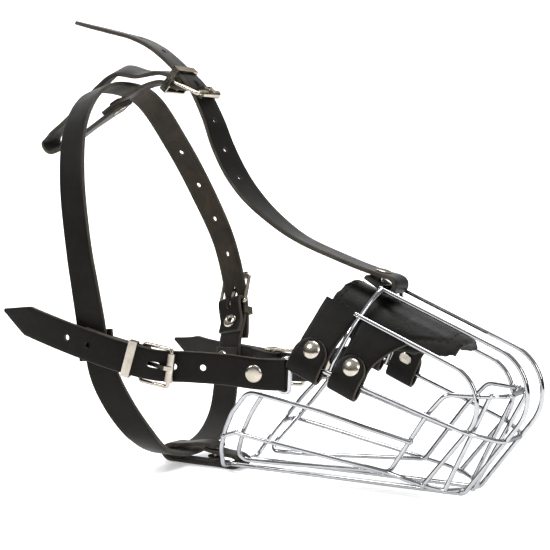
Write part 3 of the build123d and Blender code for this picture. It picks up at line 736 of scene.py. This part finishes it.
pad = saddle("nose_pad_cushion", SWELL + PAD_SINK, PAD_DEPTH - 2 * SWELL)
remesh = pad.modifiers.new("remesh", "REMESH")
remesh.mode = "VOXEL"
remesh.voxel_size = VOXEL
apply_modifiers(pad)
before = [vertex.co.copy() for vertex in pad.data.vertices]
puff(pad)
for vertex, start in zip(pad.data.vertices, before):
    move = vertex.co - start
    if move.length > MOST_MOVE:
        vertex.co = start + move.normalized() * MOST_MOVE
fine = pad.modifiers.new("fine", "SUBSURF")
fine.levels = fine.render_levels = 1
fine.subdivision_type = "CATMULL_CLARK"
apply_modifiers(pad)

SEAM_REAR, SEAM_FRONT = -22.0, 54.0
SEAM_ANGLES = [(SEAM_REAR, 50.0), (16.0, 44.0), (34.0, 48.0), (SEAM_FRONT, 64.0)]
SEAM_SIDE_STEPS, SEAM_REAR_STEPS, SEAM_FRONT_STEPS = 40, 30, 24
GROOVE_DEPTH = 0.7 * MM         # the seam pulls the leather in by this much
GROOVE_WIDTH = 1.6 * MM
ROLL_FROM = 28.0                # from here forwards the roll below the seam is suede
UNDERSIDE = -0.35               # a face that looks inwards more than this is lining


def seam_path():
    """The stitched line round the top panel, on the saddle: rear, far side, front and near side."""
    length = SEAM_FRONT - SEAM_REAR
    stretch = [SEAM_REAR + length * k / SEAM_SIDE_STEPS for k in range(SEAM_SIDE_STEPS + 1)]
    rear, front = angle_at(SEAM_ANGLES, SEAM_REAR), angle_at(SEAM_ANGLES, SEAM_FRONT)
    rear_arc, front_arc = 180 - 2 * rear, 180 - 2 * front
    path = [(SEAM_REAR, 180 - rear - rear_arc * k / SEAM_REAR_STEPS) for k in range(SEAM_REAR_STEPS)]
    path += [(s, angle_at(SEAM_ANGLES, s)) for s in stretch]
    path += [(SEAM_FRONT, front + front_arc * k / SEAM_FRONT_STEPS) for k in range(1, SEAM_FRONT_STEPS)]
    path += [(s, 180 - angle_at(SEAM_ANGLES, s)) for s in reversed(stretch)]
    return [to_row(pad_point(s, a)) for s, a in path]


def spaced(path, step):
    """Points and directions at equal steps along a closed path."""
    closed = path + path[:1]
    run = [0.0]
    for a, b in zip(closed, closed[1:]):
        run.append(run[-1] + (b - a).length)
    count = int(run[-1] / step)
    out, i = [], 0
    for k in range(count):
        want = run[-1] * k / count
        while run[i + 1] < want:
            i += 1
        t = (want - run[i]) / max(run[i + 1] - run[i], 1e-9)
        out.append((closed[i].lerp(closed[i + 1], t), (closed[i + 1] - closed[i]).normalized()))
    return out


bed = [point for point, direction in spaced(seam_path(), 0.8 * MM)]
groove = bmesh.new()
groove.from_mesh(pad.data)
near_seam = KDTree(len(bed))
for i, point in enumerate(bed):
    near_seam.insert(point, i)
near_seam.balance()
groove.normal_update()
for vertex in groove.verts:
    distance = near_seam.find(vertex.co)[2]
    vertex.co -= vertex.normal * (GROOVE_DEPTH * math.exp(-(distance / GROOVE_WIDTH) ** 2))
groove.normal_update()
saddle_axis = to_row(PAD_TOP + RISE * PAD_CENTRE)
for face in groove.faces:
    centre = face.calc_center_median()
    local = centre / MM + ORIGIN - PAD_TOP
    s = local.dot(FORWARD)
    angle = math.degrees(math.atan2((local.dot(RISE) - PAD_CENTRE) / PAD_RISE, abs(local.y) / PAD_HALF))
    rolled = s > ROLL_FROM and (s > SEAM_FRONT or angle < angle_at(SEAM_ANGLES, s))
    spoke = centre - saddle_axis
    spoke -= FORWARD * spoke.dot(FORWARD)
    face.material_index = 1 if rolled or face.normal.dot(spoke.normalized()) < UNDERSIDE else 0
    face.smooth = True
groove.to_mesh(pad.data)
surface = BVHTree.FromBMesh(groove)
groove.free()
settle(pad, ["nose_pad", "nose_pad_lining"])


STITCH_PITCH = 4.6 * MM
STITCH_LENGTH = 3.6 * MM
THREAD_RADIUS = 0.48 * MM
STITCH_DIP = 0.6 * MM           # how far a stitch's ends lie below its middle
STITCH_RINGS, STITCH_SIDES = 6, 8


def stitches(name, line):
    """A row of thread: each stitch is a short rounded bar that dips into the leather at both ends."""
    verts, faces = [], []
    for point, direction in line:
        spot, normal = surface.find_nearest(point)[:2]
        along = (direction - normal * direction.dot(normal)).normalized()
        side = normal.cross(along)
        first = len(verts)
        for k in range(STITCH_RINGS + 1):
            t = k / STITCH_RINGS * 2 - 1
            girth = THREAD_RADIUS * math.sqrt(max(1 - (abs(t) ** 3) * 0.9, 0.05))
            height = THREAD_RADIUS * 0.55 - STITCH_DIP * t * t
            centre = spot + along * (t * STITCH_LENGTH / 2) + normal * height
            for x, y in ring(girth, STITCH_SIDES):
                verts.append((centre + side * x + normal * (y * 0.8)) / MM + ORIGIN)
        for k in range(STITCH_RINGS):
            for j in range(STITCH_SIDES):
                a = first + k * STITCH_SIDES + j
                b = first + k * STITCH_SIDES + (j + 1) % STITCH_SIDES
                faces.append((a, b, b + STITCH_SIDES, a + STITCH_SIDES))
        last = first + STITCH_RINGS * STITCH_SIDES
        faces.append(tuple(first + j for j in reversed(range(STITCH_SIDES))))
        faces.append(tuple(last + j for j in range(STITCH_SIDES)))
    settle(piece(name, verts, faces, (THREAD,)), [])


stitches("pad_stitching", spaced(seam_path(), STITCH_PITCH))

TAB = 2.2                       # thickness of a tab
TABS = {"rear": (-76.2, 43.1, 23.0), "front": (-49.5, 40.7, 20.0)}      # x and y on the ring, and width
FLAPS = {"rear": (12.0, 15.0), "front": (13.0, 26.0)}   # how far each flap fans out backwards and forwards
FLAP_LENGTH = 30.0
FLAP_ANGLES = (46, 37, 28)      # on the saddle, from the flap's top downwards
FLANK = 1.3                     # the middle of a flap lies this far outside the saddle's outline
TAB_RIVET_AT = 11 * SAMPLES     # section of a tab, on its outer side


def tab(x, y, width, side):
    """A tab from the pad's flank down inside the upper ring, round it and up its outer side."""
    centre = Vector((x, 0, RING_HEIGHT - RING_SLOPE * x))
    lift = (centre - PAD_TOP).dot(RISE)
    angles = [math.radians(a) for a in FLAP_ANGLES]
    # each point is a height above the ring and a distance out from it
    flank = [(PAD_CENTRE + (PAD_RISE + FLANK) * math.sin(a) - lift, (PAD_HALF + FLANK) * math.cos(a) - y)
             for a in angles]
    inner = [(11.0, -3.4), (3.0, -2.9), (-5.0, -3.0)]
    under = [(-7.6, -2.0), (-8.4, 0.1), (-7.6, 2.2)]
    outer = [(-5.0, 3.2), (2.0, 2.8), (9.5, 0.2), (16.5, -2.2)]
    points = [centre + RISE * h + Vector((0, (y + o) * side, 0)) for h, o in flank + inner + under + outer]
    return Strap(points, tuple(FORWARD * side), width=width, thickness=TAB)


def flap_width(strap, behind, ahead, side):
    """Half the width and its sideways shift: a round outer end, and a fan that spreads towards the pad."""
    def half(distance):
        value = strap.width / 2
        left = strap.length - distance
        if left < value:
            return math.sqrt(max(value * value - (value - left) ** 2, 1.0)), 0.0
        spread = max(1 - distance / FLAP_LENGTH, 0.0) ** 1.6
        rear = value + (behind - value) * spread
        front = value + (ahead - value) * spread
        return (rear + front) / 2, side * (front - rear) / 2
    return half


tab_rivets = []
for place, (x, y, width) in TABS.items():
    for side, suffix in ((-1, "near"), (1, "far")):
        strap = tab(x, y, width, side)
        name = f"pad_tab_{place}_{suffix}"
        shape = flap_width(strap, *FLAPS[place], side)
        settle(ribbon(name, strap, shape, faces_of=(PAD, PAD, EDGE)), [name])
        tab_rivets.append(rivet(strap.plane(strap.run[TAB_RIVET_AT]), TAB / 2, TAB + 3.7, DOME_CAP))
rivets("tab_rivets", tab_rivets)


# ---------------------------------------------------------------- studio
AROUND, ABOVE, ROLL = math.radians(30.6), math.radians(3.4), math.radians(0.8)      # the camera's angles


def backdrop():
    """A pale sweep in metres, square to the camera: floor, a quarter turn and a wall."""
    turn_at, turn_radius, turn_steps = 1.6, 1.2, 16
    wide, near, top = 4.0, -3.0, 4.5
    line = [(near, 0.0), (turn_at, 0.0)]
    for k in range(1, turn_steps + 1):
        a = math.pi / 2 * k / turn_steps
        line.append((turn_at + turn_radius * math.sin(a), turn_radius * (1 - math.cos(a))))
    line.append((turn_at + turn_radius, top))
    verts = [(x, y, z) for y, z in line for x in (-wide, wide)]
    faces = [(2 * i, 2 * i + 1, 2 * i + 3, 2 * i + 2) for i in range(len(line) - 1)]
    mesh = bpy.data.meshes.new("backdrop")
    mesh.from_pydata(verts, [], faces)
    mesh.polygons.foreach_set("use_smooth", [True] * len(mesh.polygons))
    made = bpy.data.objects.new("backdrop", mesh)
    bpy.context.scene.collection.objects.link(made)
    made.rotation_euler[2] = AROUND
    paper, tree, shader = material("backdrop_paper")
    tone = ramp(tree, grain(tree, 3.0, detail=2.0), (0.3, 0.90), (0.7, 0.93))
    tree.links.new(tone, shader.inputs["Base Color"])
    shader.inputs["Roughness"].default_value = 0.9
    shader.inputs["Specular IOR Level"].default_value = 0.1
    shader.inputs["Emission Color"].default_value = (1, 1, 1, 1)
    shader.inputs["Emission Strength"].default_value = 0.42
    mesh.materials.append(paper)


backdrop()

CAMERA_AT = to_row((364.8, -829.5, 184.6))
right = Vector((math.cos(AROUND), math.sin(AROUND), 0))
back = Vector((math.sin(AROUND) * math.cos(ABOVE), -math.cos(AROUND) * math.cos(ABOVE), math.sin(ABOVE)))
up = back.cross(right)
rolled_right = right * math.cos(ROLL) + up * math.sin(ROLL)
rolled_up = up * math.cos(ROLL) - right * math.sin(ROLL)
lens = bpy.data.cameras.new("camera")
lens.lens = 95.2
lens.sensor_width = 36.0
lens.clip_end = 50.0
camera = bpy.data.objects.new("camera", lens)
camera_turn = Matrix((rolled_right, rolled_up, back)).transposed().to_4x4()
camera.matrix_world = Matrix.Translation(CAMERA_AT) @ camera_turn
bpy.context.scene.collection.objects.link(camera)
bpy.context.scene.camera = camera


def lamp(name, place, target, size, power):
    """A soft box, with places and sizes in metres and its power in watts."""
    data = bpy.data.lights.new(name, "AREA")
    data.shape = "RECTANGLE"
    data.size, data.size_y = size
    data.energy = power
    made = bpy.data.objects.new(name, data)
    made.location = place
    made.rotation_euler = (Vector(target) - Vector(place)).to_track_quat("-Z", "Y").to_euler()
    bpy.context.scene.collection.objects.link(made)


MUZZLE = (0.0, 0.0, 0.14)
lamp("key", (-0.9, -1.3, 1.5), MUZZLE, size=(0.7, 0.5), power=20)
lamp("fill", (1.7, -0.9, 0.9), MUZZLE, size=(0.4, 0.8), power=8)
lamp("top", (0.1, 0.3, 1.9), MUZZLE, size=(1.2, 0.8), power=22)
lamp("backdrop_light", (-0.9, 1.2, 2.6), (-0.9, 2.6, 0.6), size=(2.6, 1.0), power=60)

world = bpy.data.worlds.new("studio")
world.use_nodes = True
sky = world.node_tree
# dark below and pale overhead, so that the metal mirrors both
direction = node(sky, "ShaderNodeTexCoord").outputs["Generated"]
towards = node(sky, "ShaderNodeSeparateXYZ", {"Vector": direction})
height = node(sky, "ShaderNodeMath", {0: towards.outputs["Z"], 1: 0.5}, operation="MULTIPLY_ADD")
tone = ramp(sky, height.outputs[0], (0.30, 0.01), (0.55, 0.04), (0.80, 0.5))
sky.nodes["Background"].inputs["Strength"].default_value = 0.9
sky.links.new(tone, sky.nodes["Background"].inputs["Color"])
bpy.context.scene.world = world
bpy.context.scene.view_settings.view_transform = "Standard"
